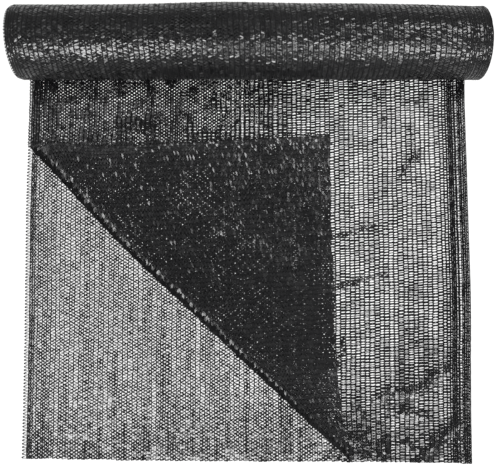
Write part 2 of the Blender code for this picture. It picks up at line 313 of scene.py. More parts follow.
# How long the outer turn is and where the inner ones start, in turns, and how many stations measure them
OUTER_TURN_LENGTH = 1.02
INNER_TURNS_FROM = 0.97
SPIRAL_STATIONS = 2000

# How many wales are knitted at the roll's left end, by the selvedge, and at its right end, by the fold
LEFT_END_WALES = 4
RIGHT_END_WALES = 3

# What each wound piece adds to the knit's seed
OUTER_TURN_SEED = 30
LEFT_END_SEED = 60
RIGHT_END_UPPER_SEED = 70
RIGHT_END_LOWER_SEED = 80

# The body of the inner turns: columns round it, rows along it and up each end, the middle hole of its ends
# as a share of the radius, and how far under the outer turn it lies
CORE_COLUMNS = 144
CORE_ROWS = 90
CORE_END_ROWS = 12
CORE_EYE = 0.02
CORE_DEPTH = 0.0004

# Its lumps, the seed and length of their ripple and what stands for its angle there; the spacing of wales
# and the courses of a turn in its relief; and its place in the bake map
CORE_LUMPS = 0.0002
CORE_RIPPLE = (41, 0.02)
CORE_ANGLE_SCALE = 0.05
CORE_WALE = 0.0030
CORE_COURSES = 130
CORE_MAP_FROM = 0.01
CORE_MAP_SPAN = 0.98

# Each wale's own sines, with their share of the waviness
WALE_SINES = (
    {"length": 0.060, "share": 0.35},
    {"length": 0.023, "share": 0.30},
    {"length": 0.011, "share": 0.20},
)

# From how many courses apart wales stray freely, what spreads their shifts, and their common ripple
FREE_SPACING = 2.7
SHIFT_SPREAD = 5
SHARED_STRAY = 0.8
SHARED_STRAY_LENGTH = 0.045

# Lengths of the slip's ripples across and along, and how far and in what length the courses bow
SLIP_LENGTHS = (0.032, 0.026)
COURSE_BOW = 0.0004
COURSE_BOW_LENGTH = 0.050

# How uneven the chains' width and crown are, the height of their edges as a share of the crown, their span
# along the bake map, and how far each one's courses lag behind its neighbour's in the strand map
CHAIN_UNEVEN = 0.16
CROWN_UNEVEN = 0.15
CHAIN_EDGE = 0.12
CHAIN_MAP_FROM = 0.002
CHAIN_MAP_SPAN = 0.996
LOOP_LAG = 0.37

# How far the tapes lap under the chains, how far their middles stray, and how far under the cloth's middle
# their ends and middles lie
TAPE_OVERLAP = 0.00030
STRAY_ACROSS = 0.00012
STRAY_ALONG = 0.00020
STRAY_UP = 0.00006
TAPE_END_LIFT = -0.00018
TAPE_MIDDLE_LIFT = -0.00006

# How uneven the tapes' width is from leg to leg and by a ripple, which is stretched across and along; how the
# pinch follows the fullness; how much the ends lean beside the middles
TAPE_UNEVEN = 0.20
TAPE_RIPPLE = 0.16
TAPE_RIPPLE_LENGTH = 0.070
TAPE_RIPPLE_SCALES = (4.2, 0.45)
PINCH_POWER = 0.7
END_LEAN = 1.6

# A leg's span within its course of the bake map, and how far the streaks are shuffled from leg to leg
TAPE_MAP_FROM = 0.06
TAPE_MAP_SPAN = 0.88
STREAK_SHUFFLE = 3.1

# The columns of the bake map: the chains' share of each, and the margin on both sides
CHAIN_MAP_SHARE = 0.36
MAP_MARGIN = 0.04

# How much the tapes lean on the loose end and on the roll, as a share of their tilt
LOOSE_LEAN = 0.70
WOUND_LEAN = 1.5

# Specular levels, and the span of the grain that the roughness follows
TAPE_SPECULAR = 1.00
CHAIN_SPECULAR = 0.14
WOUND_CHAIN_SPECULAR = 0.34
GRAIN_SPAN = (0.3, 0.7)

# Loops of the selvedge: how squared off they are, how far they stray out and along and in what lengths, their
# half width between tip and foot and how it grows to the tip, how far they lie under the cloth's middle, and
# how they lean towards the cut end
EAR_POWER = 0.80
EAR_STRAYS = (0.0003, 0.0004)
EAR_STRAY_LENGTHS = (0.020, 0.030)
EAR_MIDDLE = 0.75
EAR_GROWTH = 0.45
EAR_LIFT = -0.00005
EAR_LEAN = 0.45

# How the loops twist and narrow where the cloth is wound
EAR_TWIST = math.radians(38.0)
EAR_NARROWING = 0.20

# Ribbons at the roll's ends: how far their middles stand out and what share of it their edges do, how the one
# on the fold slants and swells, and the heights of the one on the loops, by quarters of a loop
RIBBON_LIFT = 0.00014
RIBBON_EDGE = 0.2
RIBBON_SLANT = 0.8
RIBBON_SWELL = 0.50
TIP_HEIGHTS = (0.05, 0.50, 1.0, 0.50)

# Where loops and ribbons lie in the bake map, and how wide each is there
MAP_RIGHT = 0.9990
MAP_LEFT = 0.0010
MAP_RIBBON = 0.0008

# Sides of the fold, which are the two layers
OUTER_LAYER = -1
INNER_LAYER = 1

# The least height of a strand's points over the floor
FLOOR_GAP = 0.00005

# Worked out from the sizes above: how much longer a quarter arc is than its radius, the step in the outermost
# turn, the edges and the fold, and how the diagonal crest runs and what way is outward from it
QUARTER_TURN = math.pi / 2
BENT_EXCESS = QUARTER_TURN - 1
ROLL_STEP = LAYER_SPACING + CLOTH_THICKNESS + SOLID_GAP + ROLL_FLAT_DEPTH
BACK_EDGE_Y = ROLL_AXIS_Y - SOLID_GAP
HALF_WIDTH = CUT_WIDTH / 2
UPPER_MIRROR_X = LEFT_EDGE_X + HALF_WIDTH
SIDE_CREST_X = UPPER_MIRROR_X - BENT_EXCESS * SIDE_FOLD_RADIUS
CREST_WAY = (CREST_END - CREST_START) / np.linalg.norm(CREST_END - CREST_START)
CREST_OUT = np.array((CREST_WAY[1], -CREST_WAY[0]))


class KnitSizes(bpy.types.PropertyGroup):
    """Sizes of the knit, which every piece of the cloth shares."""

    course: bpy.props.FloatProperty(
        name="Course", description="Length of one stitch along a chain", default=0.00224, unit="LENGTH"
    )
    chain_width: bpy.props.FloatProperty(
        name="Chain width", description="Width of a chain of stitches", default=0.00150, unit="LENGTH"
    )
    chain_crown: bpy.props.FloatProperty(
        name="Chain crown", description="How far a chain stands off the cloth", default=0.00040, unit="LENGTH"
    )
    tape_width: bpy.props.FloatProperty(
        name="Tape width", description="Width of an inlaid tape between two chains",
        default=0.00170, unit="LENGTH"
    )
    tape_pinch: bpy.props.FloatProperty(
        name="Tape pinch", description="Width of a tape where a chain binds it",
        default=0.00085, unit="LENGTH"
    )
    tape_tilt: bpy.props.FloatProperty(
        name="Tape tilt", description="How much the tapes lean, one from the next",
        default=0.15, subtype="ANGLE"
    )
    waviness: bpy.props.FloatProperty(
        name="Waviness", description="How far the wales stray from straight", default=0.00045, unit="LENGTH"
    )
    ear_width: bpy.props.FloatProperty(
        name="Ear width", description="Width of the tape in the loops of the selvedge",
        default=0.0013, unit="LENGTH"
    )
    seed: bpy.props.IntProperty(
        name="Seed", description="Number that the uneven shapes start from", default=11
    )


class RollSizes(bpy.types.PropertyGroup):
    """Sizes of the winding."""

    turn_step: bpy.props.FloatProperty(
        name="Turn step", description="How much a wound turn adds to the radius",
        default=0.00145, unit="LENGTH"
    )
    layer_gap: bpy.props.FloatProperty(
        name="Layer gap", description="Spacing of the two layers of a turn", default=0.0007, unit="LENGTH"
    )
    eye_radius: bpy.props.FloatProperty(
        name="Eye radius", description="Radius of the innermost turn", default=0.0035, unit="LENGTH"
    )
    creep: bpy.props.FloatProperty(
        name="Creep", description="How far the turns creep out at the roll's ends",
        default=0.0011, unit="LENGTH"
    )
    core_inset: bpy.props.FloatProperty(
        name="Core inset", description="How far in from the edges the inner turns are seen", default=0.0085,
        unit="LENGTH"
    )


class KnitFinish(bpy.types.PropertyGroup):
    """Colours and gloss of the cloth."""

    tape_colour: bpy.props.FloatVectorProperty(
        name="Tape", description="Colour of the inlaid tapes", default=(0.0062, 0.0062, 0.0072), size=3,
        subtype="COLOR", min=0.0, max=1.0
    )
    worn_colour: bpy.props.FloatVectorProperty(
        name="Worn tape", description="Colour where a tape is rubbed", default=(0.020, 0.020, 0.021), size=3,
        subtype="COLOR", min=0.0, max=1.0
    )
    chain_colour: bpy.props.FloatVectorProperty(
        name="Chain", description="Colour of the chains", default=(0.0062, 0.0062, 0.0068), size=3,
        subtype="COLOR", min=0.0, max=1.0
    )
    tape_roughness: bpy.props.FloatProperty(
        name="Tape roughness", description="Roughness of the tapes", default=0.20, subtype="FACTOR"
    )
    chain_roughness: bpy.props.FloatProperty(
        name="Chain roughness", description="Roughness of the chains", default=0.58, subtype="FACTOR"
    )


class StudioSizes(bpy.types.PropertyGroup):
    """The camera's place, the floor and the lights."""

    camera_distance: bpy.props.FloatProperty(
        name="Camera distance", description="From the camera to the middle of the view",
        default=1.126, unit="LENGTH"
    )
    camera_lean: bpy.props.FloatProperty(
        name="Camera lean", description="How far the camera leans from straight above",
        default=math.radians(4.8),
        subtype="ANGLE"
    )
    camera_lens: bpy.props.FloatProperty(
        name="Lens", description="Focal length of the camera in millimetres", default=60.05
    )
    floor_size: bpy.props.FloatProperty(
        name="Floor size", description="Length of the floor's side", default=8.0, unit="LENGTH"
    )
    sky_overhead: bpy.props.FloatProperty(
        name="Sky overhead", description="Strength of the soft light from straight above", default=0.08
    )
    sky_low: bpy.props.FloatProperty(
        name="Sky low down", description="Strength of the soft light from all round", default=0.26
    )
    floor_glow: bpy.props.FloatProperty(
        name="Floor glow", description="Light that the white table gives by itself", default=1.0
    )
    softbox_power: bpy.props.FloatProperty(
        name="Softbox power", description="Power of the strongest softbox in watts", default=50.0
    )


def soft_step(value):
    """0 below 0, 1 above 1, and the cubic 3v^2 - 2v^3 between."""
    held = np.clip(value, 0.0, 1.0)
    return held * held * (3 - 2 * held)


def drift(x, y, rows):
    """Sum of bell-shaped pushes in the plane: push times e to the minus (distance / spread) squared."""
    across = np.zeros_like(x)
    along = np.zeros_like(y)
    for row in rows:
        near = np.exp(-((x - row["x"]) ** 2 + (y - row["y"]) ** 2) / row["spread"] ** 2)
        across += row["push_x"] * near
        along += row["push_y"] * near
    return across, along


def crease(x, y, rows):
    """Ridges and how they gather the cloth.

    Each ridge is a bell of the distance to its own line. It lifts the cloth by its height and draws each
    point towards the line by a share of that distance, so that the knit is closer on the ridge. Last comes
    how much each point is gathered: the sum of gather times the bell, up to 1.
    """
    gathered = np.zeros_like(x)
    height = np.zeros_like(x)
    draw_x = np.zeros_like(x)
    draw_y = np.zeros_like(x)
    for row in rows:
        start = np.array(row["start"])
        way = np.array(row["end"]) - start
        share = np.clip(((x - start[0]) * way[0] + (y - start[1]) * way[1]) / (way @ way), 0, 1)
        off_x = x - start[0] - share * way[0]
        off_y = y - start[1] - share * way[1]
        bell = np.exp(-((np.hypot(off_x, off_y) / row["spread"]) ** 2))
        height += row["height"] * bell
        draw_x -= GATHER_PULL * row["gather"] * bell * off_x
        draw_y -= GATHER_PULL * row["gather"] * bell * off_y
        gathered += row["gather"] * bell
    return height, draw_x, draw_y, np.minimum(gathered, 1.0)


def ripple(x, y, seed, length):
    """Soft uneven waves between about -1 and 1: a sum of sines of random direction, phase and length."""
    rng = np.random.default_rng(seed)
    total = np.zeros_like(x)
    angles = rng.uniform(0, math.pi, RIPPLE_SINES)
    phases = rng.uniform(0, math.tau, RIPPLE_SINES)
    stretches = rng.uniform(*RIPPLE_STRETCH, RIPPLE_SINES)
    for angle, phase, stretch in zip(angles, phases, stretches):
        wave = math.tau / (length * stretch)
        total += np.sin((x * math.cos(angle) + y * math.sin(angle)) * wave + phase)
    return total / RIPPLE_SCALE


def fold_radius(along):
    """Radius of the side fold, which the roll presses flat."""
    pressed = soft_step((along - PRESSED_FROM_Y + PRESSED_OVER) / PRESSED_OVER)
    return SIDE_FOLD_RADIUS + (LAYER_SPACING / 2 - SIDE_FOLD_RADIUS) * pressed


def upper_surface(x, y):
    """Height of the upper layer over the lower: spacing, plus the fold's fullness, plus creases."""
    radius = fold_radius(y)
    past = np.maximum(SIDE_CREST_X - radius - x, 0.0)
    fullness = (2 * radius - LAYER_SPACING) * np.exp(-((past / SIDE_FOLD_SETTLE) ** 2))
    open_part = soft_step(past / SIDE_FOLD_SETTLE) * soft_step((PRESSED_FROM_Y - y) / PRESSED_OVER)
    return LAYER_SPACING + fullness + crease(x, y, CREASES)[0] * open_part


def fold_double(across, along):
    """Folds the flat cloth along its middle: a circle for a quarter turn each way, then flat."""
    radius = fold_radius(along)
    bend = np.clip(across / radius, -QUARTER_TURN, QUARTER_TURN)
    past = np.maximum(np.abs(across) - QUARTER_TURN * radius, 0.0)
    crest = UPPER_MIRROR_X - BENT_EXCESS * radius
    x = crest - radius + radius * np.cos(bend) - past
    z = radius + radius * np.sin(bend)
    upper = across > QUARTER_TURN * radius
    z = np.where(upper, upper_surface(x, along), z)
    return x, along, z, upper


def beyond_crest(x, y):
    """How far a point lies beyond the diagonal crest: its distance from the crest's line, outward."""
    return (x - CREST_START[0]) * CREST_OUT[0] + (y - CREST_START[1]) * CREST_OUT[1]


def turn_corner(x, y, z, upper):
    """Turns what lies beyond the diagonal crest back over the upper layer, round a circle."""
    beyond = beyond_crest(x, y)
    reach = beyond - BENT_EXCESS * CREST_RADIUS
    bent = upper & (reach > -QUARTER_TURN * CREST_RADIUS)
    bend = np.clip(reach / CREST_RADIUS, -QUARTER_TURN, QUARTER_TURN)
    past = np.maximum(reach - QUARTER_TURN * CREST_RADIUS, 0.0)
    offset = CREST_RADIUS * (np.cos(bend) - 1) - past
    slip = -FLAP_SLIP * past
    turned_x = x + (offset - beyond) * CREST_OUT[0] + slip * CREST_WAY[0]
    turned_y = y + (offset - beyond) * CREST_OUT[1] + slip * CREST_WAY[1]
    fullness = (2 * CREST_RADIUS - LAYER_SPACING) * np.exp(-((past / CREST_SETTLE) ** 2))
    lift = np.where(past > 0, LAYER_SPACING + fullness, CREST_RADIUS * (1 + np.sin(bend)))
    turned_z = upper_surface(turned_x, turned_y) + lift
    flap = np.where(bent, soft_step(past / FLAP_DRIFT_FROM), 0.0)
    return np.where(bent, turned_x, x), np.where(bent, turned_y, y), np.where(bent, turned_z, z), flap


def bare_share(x, y):
    """How much of the lower layer lies bare: 0 under the upper layer, 1 beyond the diagonal crest."""
    return soft_step((beyond_crest(x, y) - BARE_FROM) / BARE_OVER)


def on_loose_end(across, along):
    """Lays the flat cloth out: folded double, its corner turned, then drawn, creased and rippled."""
    x, y, z, upper = fold_double(across, along)
    x, y, z, flap = turn_corner(x, y, z, upper)
    lower = across < 0
    settled = soft_step((SIDE_CREST_X - x) / SETTLED_OVER) * soft_step((PRESSED_FROM_Y - y) / PRESSED_OVER)
    bare = bare_share(x, y) * lower * settled
    moved_x = x.copy()
    moved_y = y.copy()
    for rows, share in ((EDGE_DRIFTS, 1.0), (UPPER_DRIFTS, upper), (FLAP_DRIFTS, flap)):
        push_x, push_y = drift(x, y, rows)
        moved_x += push_x * share
        moved_y += push_y * share
    for rows, share in ((CREASES, upper * settled), (LOWER_CREASES, bare)):
        height, draw_x, draw_y, _ = crease(x, y, rows)
        moved_x += draw_x * share
        moved_y += draw_y * share
        z = z + height * share * lower
    drawn_in = UPPER_DRAW_IN * upper * settled * (1 - flap)
    moved_x -= drawn_in * x
    moved_y -= drawn_in * (y - UPPER_DRAW_Y)
    even = (0.5 + 0.5 * ripple(x, y, *SHEET_RIPPLE)) * settled
    z = z + SHEET_RISE * even + BARE_RISE * bare * even
    z = z + CORNER_RISE * flap * (0.5 + 0.5 * ripple(x, y, *CORNER_RIPPLE))
    return np.column_stack((moved_x, moved_y, z + CLOTH_THICKNESS / 2))


def swell_at(x):
    """Sum of bell-shaped swells along the roll."""
    return sum(row["growth"] * np.exp(-(((x - row["x"]) / row["spread"]) ** 2)) for row in ROLL_SWELLS)


def winding_radius(turn, step):
    """Radius of the cloth's outer face by turn: the solid's step in the first turn, then an even one."""
    return ROLL_RADIUS - ROLL_STEP * np.minimum(turn, 1.0) - step * np.maximum(turn - 1.0, 0.0)


def end_place(radius, angle, side):
    """X of the roll's left (side 0) or right (side 1) end at a radius and an angle, by the end's profile."""
    row = ROLL_ENDS[side]
    shares = [knot["share"] for knot in END_PROFILE]
    inward = np.interp(radius / ROLL_RADIUS, shares, [knot["inward"] for knot in END_PROFILE])
    outward = 1 if side else -1
    return row["x"] + row["back"] * np.cos(angle) + row["top"] * np.sin(angle) - outward * inward


def on_roll(x, radius, angle):
    """A point of the roll: a circle about its axis, swollen from the floor and never below it."""
    swell = swell_at(x)
    z = np.maximum(ROLL_RADIUS - ROLL_FLAT_DEPTH + radius * np.sin(angle), ROLL_LOWEST) * (1 + swell)
    y = ROLL_AXIS_Y + radius * np.cos(angle) * (1 + swell) + swell * z
    return np.column_stack((x, y, z))


def turn_of(along, step):
    """Turns wound after a length of cloth, read back from the length that each turn takes."""
    turns = np.linspace(0, MOST_TURNS, MOST_TURNS * STEPS_A_TURN + 1)
    radius = np.maximum(winding_radius(turns, step), LEAST_RADIUS)
    length = np.concatenate(([0.0], np.cumsum((radius[1:] + radius[:-1]) / 2 * math.tau * np.diff(turns))))
    return np.interp(along, length, turns)


def on_winding(sizes):
    """Gives the place function of the wound cloth, whose "along" starts where the cloth meets the floor.

    Radius and angle follow the turn. Across, the cloth bends round a small circle at the fold, which sets
    how deep it lies and how far in from the right end, and the width is fitted between the two ends.
    """

    def place(across, along):
        turn = turn_of(along, sizes.turn_step)
        angle = math.tau * turn - QUARTER_TURN
        bend_radius = sizes.layer_gap / 2
        bend = np.clip(across / bend_radius, -QUARTER_TURN, QUARTER_TURN)
        past = np.maximum(np.abs(across) - QUARTER_TURN * bend_radius, 0.0)
        depth = bend_radius + bend_radius * np.sin(bend)
        radius = winding_radius(turn, sizes.turn_step) - CLOTH_THICKNESS / 2 - depth
        creep = sizes.creep * np.interp(turn, CREEP_TURNS, (0.0, 1.0))
        left_creep = creep * ripple(turn, 0 * turn, CREEP_SEED, CREEP_WAVES[0])
        right_creep = creep * ripple(turn, 0 * turn, CREEP_SEED + 1, CREEP_WAVES[1])
        left = end_place(radius, angle, 0) - left_creep
        right = end_place(radius, angle, 1) + right_creep
        inward = bend_radius * (1 - np.cos(bend)) + past
        x = right - inward * (right - left) / HALF_WIDTH
        return on_roll(x, radius, angle)

    return place


def lifted(place, across, along, lift):
    """Lays points off the cloth: the place itself plus lift times the cloth's unit normal there.

    The normal is the cross product of the steps along and across, which points to the side with the chains.
    """
    step = 0.0004
    shape = across.shape
    across, along, lift = (np.ascontiguousarray(field, float).ravel() for field in (across, along, lift))
    middle = place(across, along)
    side = place(across + step, along) - place(across - step, along)
    way = place(across, along + step) - place(across, along - step)
    normal = np.cross(way, side)
    normal /= np.maximum(np.linalg.norm(normal, axis=1, keepdims=True), 1e-12)
    points = middle + normal * lift[:, None]
    points[:, 2] = np.maximum(points[:, 2], FLOOR_GAP)
    return points.reshape(*shape, 3)


def past_crest(across, along):
    """How far past the diagonal crest a point of the upper layer is on the flat cloth.

    On the lower layer it is -1, which is far short of the crest.
    """
    return np.where(across > 0, beyond_crest(UPPER_MIRROR_X - np.abs(across), along), -1.0)


def turned_share(across, along):
    """How much a point of the flat cloth is turned with the corner: a soft step past the diagonal crest."""
    return soft_step(past_crest(across, along) / TURNED_OVER)


def loose_fullness(across, along):
    """How full the tapes of the loose end lie, as a share of their width.

    A soft step of the distance from the fold takes them to whole, and a bell thins them on the fold itself.
    They are fuller by a bell at the cut end, by soft steps by the roll, on the turned corner and under it, by
    a bell on its bend and in each close patch, and on the upper layer where a crease gathers it. A soft
    ripple is added by the fold.
    """
    distance = np.abs(across)
    full = FOLD_FULLNESS + (1 - FOLD_FULLNESS) * soft_step((distance - FULL_FROM) / (FULL_BY - FULL_FROM))
    full = full * (1 - FOLD_THINNING * np.exp(-((distance / FOLD_THIN_TO) ** 2)))
    full = full * (1 + FRONT_FULLNESS * np.exp(-(((along - FRONT_EDGE_Y) / FRONT_SPREAD) ** 2)))
    held = rung_reach(distance, along)
    full = full * (1 + FOLD_UNEVEN * held * ripple(distance, along, *FOLD_RIPPLE))
    by_roll = soft_step((along - ROLL_FULL_FROM) / (ROLL_FULL_BY - ROLL_FULL_FROM))
    full = full * (1 + (ROLL_FULLNESS + RUNG_FULLNESS * held) * by_roll)
    x = UPPER_MIRROR_X - distance
    beyond = beyond_crest(x, along)
    turned = turned_share(across, along)
    full = full * (1 + BEND_FULLNESS * (across > 0) * np.exp(-(((beyond - BEND_MIDDLE) / BEND_SPREAD) ** 2)))
    covered = soft_step(-beyond / TURNED_OVER) * soft_step((COVERED_TO_X - x) / COVERED_OVER)
    covered = covered * soft_step((BEYOND_CORNER_Y - along) / COVERED_OVER)
    full = full * (1 + COVERED_FULLNESS * covered)
    patches = np.zeros_like(full)
    for row in CLOSE_PATCHES:
        patches += row["more"] * np.exp(-((x - row["x"]) ** 2 + (along - row["y"]) ** 2) / row["spread"] ** 2)
    gathered = crease(x, along, CREASES)[3] * (across > 0)
    return full * (1 + FLAP_FULLNESS * turned) * (1 + (patches + GATHER_FULLNESS * gathered) * (1 - turned))


def rung_reach(distance, along):
    """Where the rungs are: 1 by the fold, falling by a soft step of the distance from it.

    Behind the turned corner they reach further.
    """
    beyond = soft_step((along - BEYOND_CORNER_Y) / RUNGS_BEYOND_OVER + 0.5)
    gone = RUNGS_GONE_BESIDE + (RUNGS_GONE_BEYOND - RUNGS_GONE_BESIDE) * beyond
    return 1 - soft_step((distance - RUNGS_TO) / (gone - RUNGS_TO))


def loose_rungs(across, along):
    """How closely the tapes of the loose end are held to their rungs, and how far along each is from its own.

    The hold is uneven by a ripple, less where a crease gathers the upper layer and none where the lower one
    lies bare. Rungs are the whole multiples of the pitch in a level that rises with "along", slants with the
    distance, strays by a ripple and shifts a little from one column of holes to the next.
    """
    distance = np.abs(across)
    x = UPPER_MIRROR_X - distance
    in_front = soft_step((RUNGS_LOOSER_FROM - along) / RUNGS_LOOSER_OVER)
    hold = RUNG_HOLD * rung_reach(distance, along) * (1 - RUNGS_LOOSER * in_front)
    hold = hold * (1 - HOLD_UNEVEN * (0.5 + 0.5 * ripple(distance, along, *HOLD_RIPPLE)))
    hold = hold * np.where(across > 0, 1 - crease(x, along, CREASES)[3], 1 - bare_share(x, along))
    body_share = (distance - BODY_WALES_FROM) / (BODY_WALES_TO - BODY_WALES_FROM)
    column = np.floor(body_share * (BODY_WALE_COUNT - 1))
    level = along + RUNG_SLANT * distance + RUNG_STRAY * ripple(distance, along, *RUNG_RIPPLE)
    level = level + RUNG_SHIFT * np.sin(RUNG_SHIFT_PHASE * column)
    return hold, level - RUNG_PITCH * np.round(level / RUNG_PITCH)


def loose_lean(across, along):
    """How much the tapes of the loose end lean: evenly, and more on the turned corner."""
    return LOOSE_LEAN * (1 + CORNER_LEAN * turned_share(across, along))


def loose_dull(across, along):
    """Whether the tapes are worked dull: on the bend of the turned corner."""
    beyond = past_crest(across, along)
    return (beyond > DULL_FROM) & (beyond < DULL_TO)


def wound_lean(across, along):
    """How much the tapes of the wound cloth lean: evenly."""
    return WOUND_LEAN + 0 * (across + along)


def wound_dull(across, along):
    """No tape of the wound cloth is worked dull."""
    return np.zeros_like(across + along, bool)


def wound_fullness(across, along):
    """The tapes of the wound cloth lie at their whole width."""
    return np.ones_like(across + along)


def wound_rungs(across, along):
    """The tapes of the wound cloth lie evenly, held to no rungs."""
    return np.zeros_like(across + along), np.zeros_like(across + along)


def wale_distances(upper):
    """Distances of the wales from the fold, and how much each has slipped, from 0 to 1.

    On the upper layer they lag by up to half a wale over the body, and one more closes the selvedge.
    """
    body = np.linspace(BODY_WALES_FROM, BODY_WALES_TO, BODY_WALE_COUNT)
    last = (UPPER_LAST_WALE,) if upper else ()
    wales = np.concatenate((FOLD_WALES, body, SELVEDGE_WALES, last))
    share = soft_step((wales - SLIP_STARTS) / (SLIP_FULL - SLIP_STARTS))
    share = share * soft_step((HALF_WIDTH - wales) / (HALF_WIDTH - SLIP_ENDS)) * upper
    return wales - (body[1] - body[0]) / 2 * share, share


class Strands:
    """Vertices, quads and flat coordinates of strands, gathered for one mesh."""

    def __init__(self):
        self.points = []
        self.quads = []
        self.bake = []
        self.strand = []
        self.material = []
        self.count = 0

    def add(self, points, bake, strand, material, flipped=None):
        """Adds grids of points (strand, station, across, xyz) with their two flat maps.

        The material is one for all the strands or one for each.
        """
        strands, stations, width = points.shape[:3]
        index = self.count + np.arange(strands * stations * width).reshape(strands, stations, width)
        corners = (index[:, :-1, :-1], index[:, 1:, :-1], index[:, 1:, 1:], index[:, :-1, 1:])
        quads = np.stack(corners, axis=-1)
        if flipped is not None:
            quads[flipped] = quads[flipped][..., ::-1]
        self.points.append(points.reshape(-1, 3))
        self.quads.append(quads.reshape(-1, 4))
        self.bake.append(bake.reshape(-1, 2))
        self.strand.append(strand.reshape(-1, 2))
        kinds = np.asarray(material).reshape(-1, 1, 1)
        self.material.append(np.broadcast_to(kinds, quads.shape[:3]).ravel())
        self.count += strands * stations * width

    def make(self, name, materials):
        """Puts the strands into an object at the origin, shaded smooth."""
        points = np.concatenate(self.points)
        quads = np.concatenate(self.quads)
        mesh = bpy.data.meshes.new(name)
        mesh.vertices.add(len(points))
        mesh.vertices.foreach_set("co", points.ravel())
        mesh.loops.add(quads.size)
        mesh.loops.foreach_set("vertex_index", quads.ravel())
        mesh.polygons.add(len(quads))
        mesh.polygons.foreach_set("loop_start", np.arange(0, quads.size, 4))
        mesh.polygons.foreach_set("material_index", np.concatenate(self.material).astype(np.int32))
        for map_name, flat in (("OFBake", self.bake), ("Strand", self.strand)):
            layer = mesh.uv_layers.new(name=map_name)
            layer.uv.foreach_set("vector", np.concatenate(flat)[quads.ravel()].ravel())
        mesh.update(calc_edges=True)
        mesh.validate()
        mesh.shade_smooth()
        for material in materials:
            mesh.materials.append(material)
        thing = bpy.data.objects.new(name, mesh)
        bpy.context.scene.collection.objects.link(thing)
        return thing


def strip_cell(count, part):
    """Start and width of each strand's column in the bake map: chains take part 0, tapes part 1."""
    start, end = ((0.0, CHAIN_MAP_SHARE), (CHAIN_MAP_SHARE, 1.0))[part]
    lead = np.arange(count) + start + MAP_MARGIN
    return lead / count, (end - start - 2 * MAP_MARGIN) / count


class Layer:
    """One layer to knit: its place function, side of the fold, courses and wales, and how its tapes lie."""

    def __init__(self, place, side, start, courses, wales, seed, slip=None, crossing=False, loose=False):
        self.place = place
        self.side = side
        self.start = start
        self.courses = courses
        self.wales = wales
        self.seed = seed
        self.slip = np.zeros_like(wales) if slip is None else slip
        self.crossing = crossing
        self.fullness = loose_fullness if loose else wound_fullness
        self.rungs = loose_rungs if loose else wound_rungs
        self.lean = loose_lean if loose else wound_lean
        self.dull = loose_dull if loose else wound_dull


def wale_lines(sizes, layer, rng):
    """The wales as flat lines, a row for each wale and a column for each course: across and along.

    Each strays by a shift and three sines of its own and by a ripple that neighbours share. Where the layer
    has slipped, its wales lag along and stray more.
    """
    course_along = layer.start + sizes.course * np.arange(layer.courses + 1)
    wave = rng.uniform(0, math.tau, (MOST_WALES, len(WALE_SINES)))[:len(layer.wales)]
    stray = np.zeros((len(layer.wales), layer.courses + 1))
    for number, row in enumerate(WALE_SINES):
        phase = course_along[None, :] * math.tau / row["length"] + wave[:, number, None]
        stray += row["share"] * np.sin(phase)
    freedom = np.minimum(np.gradient(layer.wales) / sizes.course / FREE_SPACING, 1.0)[:, None]
    even_x = np.broadcast_to(layer.wales[:, None], stray.shape)
    even_y = np.broadcast_to(course_along[None, :], stray.shape)
    stray += WALE_STRAY * np.cos(wave[:, :1] * SHIFT_SPREAD)
    shared = SHARED_STRAY * ripple(even_x, even_y, layer.seed + 1, SHARED_STRAY_LENGTH)
    stray = sizes.waviness * freedom * (stray + shared)
    slip = layer.slip[:, None]
    slip_across = SLIP_STRAY * slip * ripple(even_x, even_y, layer.seed + 7, SLIP_LENGTHS[0])
    across = layer.wales[:, None] + stray + slip_across
    lag = SLIP_ALONG + SLIP_STRAY * ripple(even_x, even_y, layer.seed + 8, SLIP_LENGTHS[1])
    along = even_y + slip * lag
    along = along + COURSE_BOW * ripple(even_x, even_y, layer.seed + 2, COURSE_BOW_LENGTH)
    return across, along


def add_chains(strands, sizes, layer, across, along, rng):
    """A chain on each wale: a strip of three points across with its middle raised to the crown."""
    side = layer.side
    count, stations = across.shape
    uneven = rng.standard_normal((2, MOST_WALES, stations)).clip(-2, 2)[:, :count]
    half = sizes.chain_width / 2 * (1 + CHAIN_UNEVEN * uneven[0])
    flat = side * across[..., None] + np.array((-1.0, 0.0, 1.0)) * side * half[..., None]
    profile = np.array((CHAIN_EDGE, 1.0, CHAIN_EDGE))
    lift = sizes.chain_crown * profile * (1 + CROWN_UNEVEN * uneven[1][..., None])
    flat_along = np.broadcast_to(along[..., None], flat.shape)
    order = slice(None) if side > 0 else slice(None, None, -1)
    points = lifted(layer.place, flat[..., order], flat_along, lift)
    lead, width = strip_cell(count, 0)
    across_share = np.broadcast_to(np.array((0.0, 0.5, 1.0)), flat.shape)
    station = np.arange(stations)[None, :, None]
    rise = np.broadcast_to(station / (stations - 1) * CHAIN_MAP_SPAN + CHAIN_MAP_FROM, flat.shape)
    bake = np.stack((lead[:, None, None] + across_share * width, rise), axis=-1)
    loop = np.broadcast_to(station + LOOP_LAG * np.arange(count)[:, None, None], flat.shape)
    strands.add(points, bake, np.stack((across_share, loop), axis=-1), 0)


